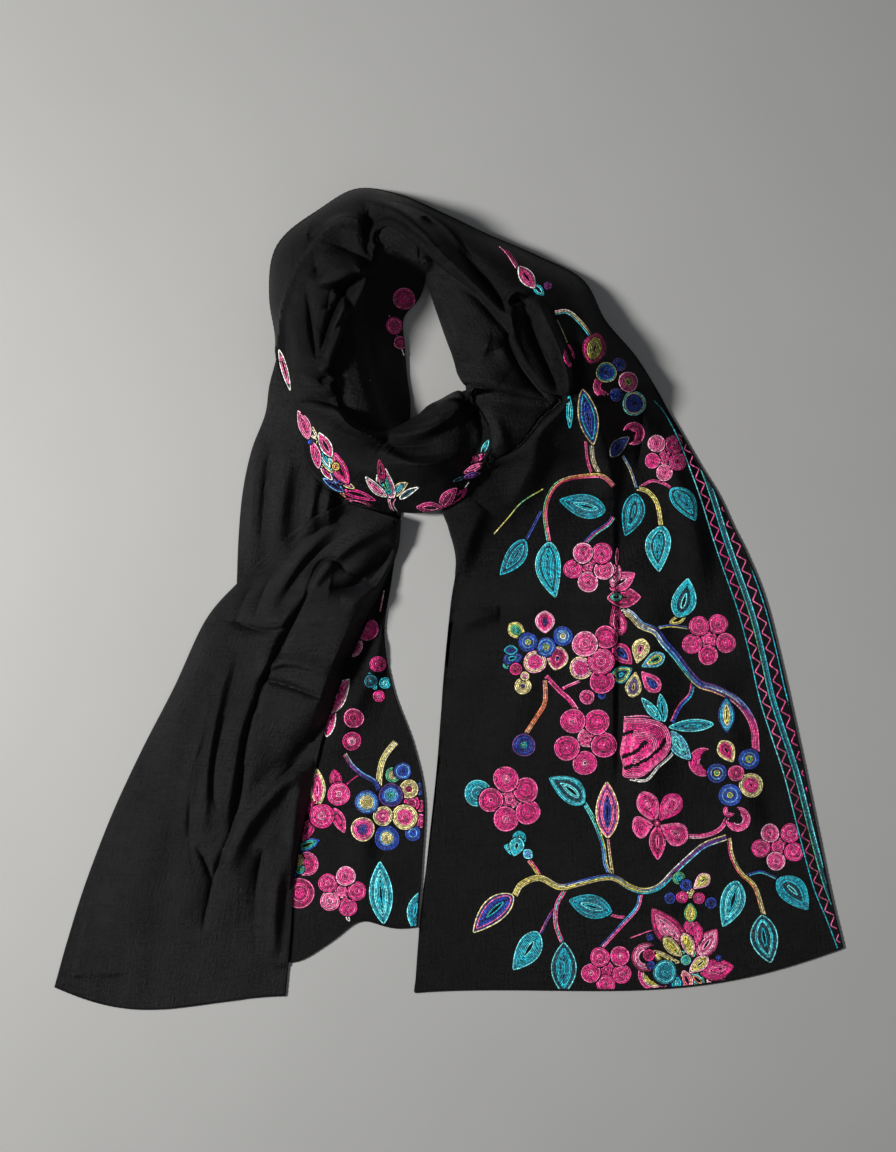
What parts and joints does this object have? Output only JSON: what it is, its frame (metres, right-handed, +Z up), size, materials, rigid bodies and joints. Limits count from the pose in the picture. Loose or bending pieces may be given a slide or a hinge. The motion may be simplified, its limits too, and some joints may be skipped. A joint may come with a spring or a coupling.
{
  "type": "embroidered scarf",
  "caption": "Long black scarf wound into one loose loop and laid flat, with embroidered flowers, leaves and a zigzag border on the spread end.",
  "frame": {"origin": "on the floor, below the middle of the scarf's bounding box", "axes": "+Z up from the floor, +Y from the two ends towards the top of the loop, +X towards the wide embroidered end"},
  "size_m": [0.7092, 0.7395, 0.062],
  "materials": {
    "cloth": "matt black fine wool with a soft nap",
    "embroidery": "raised chain stitch in pink, teal, blue, cream and orange thread with a slight sheen"
  },
  "bodies": {
    "root": {"right_end": "cloth", "ring_outer": "cloth", "ring_front": "cloth", "ring_inner": "cloth", "ring_under": "cloth", "ring_core": "cloth", "left_lower": "cloth", "left_upper": "cloth"}
  },
  "joints": []
}
